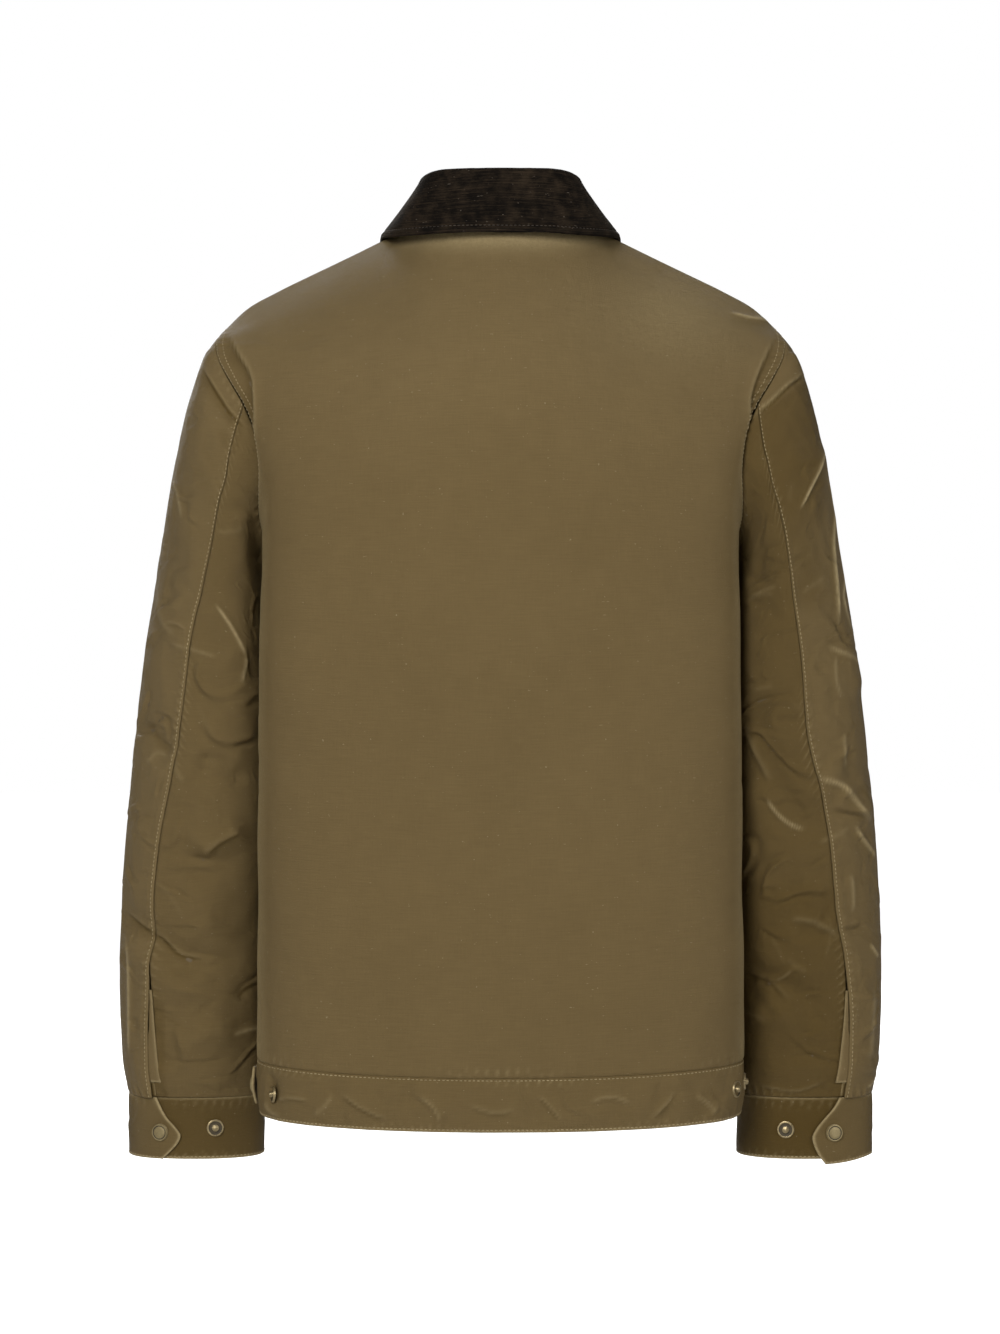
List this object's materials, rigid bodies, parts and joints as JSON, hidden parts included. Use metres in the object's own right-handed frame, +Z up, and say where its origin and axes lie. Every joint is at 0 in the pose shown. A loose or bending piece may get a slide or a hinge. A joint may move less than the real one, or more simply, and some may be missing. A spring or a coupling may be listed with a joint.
{
  "type": "waxed cotton jacket",
  "caption": "Waist-length waxed cotton jacket with a corduroy collar, snap cuffs and a hem band, hollow in its worn form.",
  "frame": {"origin": "midway between the two side neck points, at their height, where the wearer's shoulders hold the jacket", "axes": "+Z up, -Y the way the front faces, +X toward the jacket's own left sleeve"},
  "size_m": [0.6018, 0.2502, 0.7688],
  "materials": {
    "waxed_cotton": "olive-tan waxed cotton, plain weave with faint slubs, satin where the wax is rubbed",
    "corduroy": "dark brown needle corduroy with a mottled nap",
    "snap_cap": "dull olive-brass snap cap with a raised rim and centre",
    "bronze_stud": "antique bronze snap stud, ring and ball"
  },
  "bodies": {
    "root": {"back": "waxed_cotton", "front_left": "waxed_cotton", "front_right": "waxed_cotton", "placket": "waxed_cotton", "placket_cap_1": "snap_cap", "placket_cap_2": "snap_cap", "placket_cap_3": "snap_cap", "placket_cap_4": "snap_cap", "placket_cap_5": "snap_cap", "placket_cap_6": "snap_cap", "collar": "corduroy", "sleeve_left_outer": "waxed_cotton", "sleeve_left_inner": "waxed_cotton", "sleeve_right_outer": "waxed_cotton", "sleeve_right_inner": "waxed_cotton", "vent_left": "waxed_cotton", "vent_right": "waxed_cotton", "cuff_left": "waxed_cotton", "cuff_right": "waxed_cotton", "cuff_cap_left": "snap_cap", "cuff_cap_right": "snap_cap", "cuff_stud_left": "bronze_stud", "cuff_stud_right": "bronze_stud", "band_back": "waxed_cotton", "band_front_left": "waxed_cotton", "band_front_right": "waxed_cotton", "hem_tab_left": "waxed_cotton", "hem_tab_right": "waxed_cotton", "hem_cap_left": "snap_cap", "hem_cap_right": "snap_cap", "hem_stud_left": "bronze_stud", "hem_stud_right_rear": "bronze_stud", "hem_stud_right_side": "bronze_stud"}
  },
  "joints": []
}
